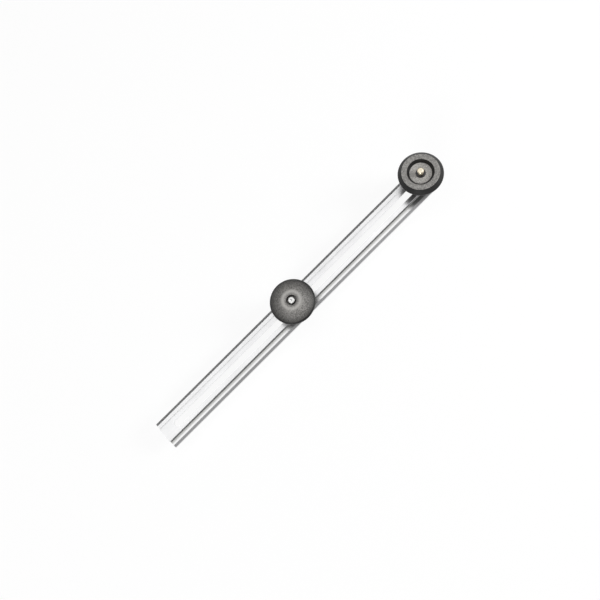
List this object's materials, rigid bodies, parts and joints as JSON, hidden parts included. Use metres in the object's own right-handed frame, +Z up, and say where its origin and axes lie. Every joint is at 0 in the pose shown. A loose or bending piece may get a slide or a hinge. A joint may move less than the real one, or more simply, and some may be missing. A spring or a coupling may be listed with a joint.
{
  "type": "circle cutter",
  "caption": "Beam circle cutter: slotted rail with a sliding pivot foot locked by a domed clamp knob, and a cutter wheel under a dished hand knob at one end.",
  "frame": {"origin": "middle of the tool's length and width, on the surface that the pivot foot and the cutter wheel stand on", "axes": "+X along the rail towards the cutter, +Y across the rail, +Z up"},
  "size_m": [0.346, 0.041, 0.0437],
  "materials": {
    "rail_aluminium": "bright satin extrusion",
    "post_brass": "turned",
    "plated_steel": "zinc plated",
    "spring_steel": "blackened spring steel",
    "wheel_steel": "ground and hardened",
    "bush_bronze": "sintered",
    "knob_plastic": "fine moulded grain",
    "acetal": "natural acetal",
    "pad_rubber": "soft matt"
  },
  "bodies": {
    "beam": {"rail": "rail_aluminium", "cutter_post": "post_brass", "post_washer": "plated_steel", "post_nut": "plated_steel", "thrust_washer": "plated_steel", "retaining_clip": "spring_steel", "wheel_pin": "plated_steel", "wheel_pin_clips": "spring_steel"},
    "wheel": {"cutter_wheel": "wheel_steel", "wheel_bush": "bush_bronze"},
    "hand_grip": {"hand_knob": "knob_plastic", "hand_knob_bush": "acetal"},
    "carriage": {"slide_block": "plated_steel", "glide_shoes": "acetal", "clamp_stud": "plated_steel", "stud_cross_pin": "plated_steel", "centre_needle": "wheel_steel", "foot_clip": "spring_steel"},
    "clamp_lift": {"clamp_washer": "plated_steel"},
    "clamp_grip": {"clamp_knob": "knob_plastic", "clamp_knob_insert": "post_brass"},
    "foot": {"pivot_foot": "knob_plastic", "foot_bush": "bush_bronze", "foot_pad": "pad_rubber"}
  },
  "joints": [
    {"name": "wheel_spin", "type": "hinge", "parent": "beam", "child": "wheel", "pos_m": [0.15277, 0, 0.006], "axis": [1, 0, 0], "continuous": true},
    {"name": "hand_knob_spin", "type": "hinge", "parent": "beam", "child": "hand_grip", "pos_m": [0.15277, 0, 0.0196], "axis": [0, 0, 1], "continuous": true},
    {"name": "carriage_slide", "type": "slide", "parent": "beam", "child": "carriage", "axis": [1, 0, 0], "range_m": [-0.149, 0.119]},
    {"name": "clamp_rise", "type": "slide", "parent": "carriage", "child": "clamp_lift", "axis": [0, 0, 1], "range_m": [0, 0.00201]},
    {"name": "clamp_turn", "type": "hinge", "parent": "clamp_lift", "child": "clamp_grip", "pos_m": [-0.00752, 0, 0.0205], "axis": [0, 0, 1], "range_deg": [0, 720]},
    {"name": "foot_swivel", "type": "hinge", "parent": "carriage", "child": "foot", "pos_m": [-0.00752, 0, 0], "axis": [0, 0, 1], "continuous": true}
  ],
  "couplings": [
    {"joint": "clamp_rise", "follows": "clamp_turn", "m_per_rad": 0.00015915}
  ]
}
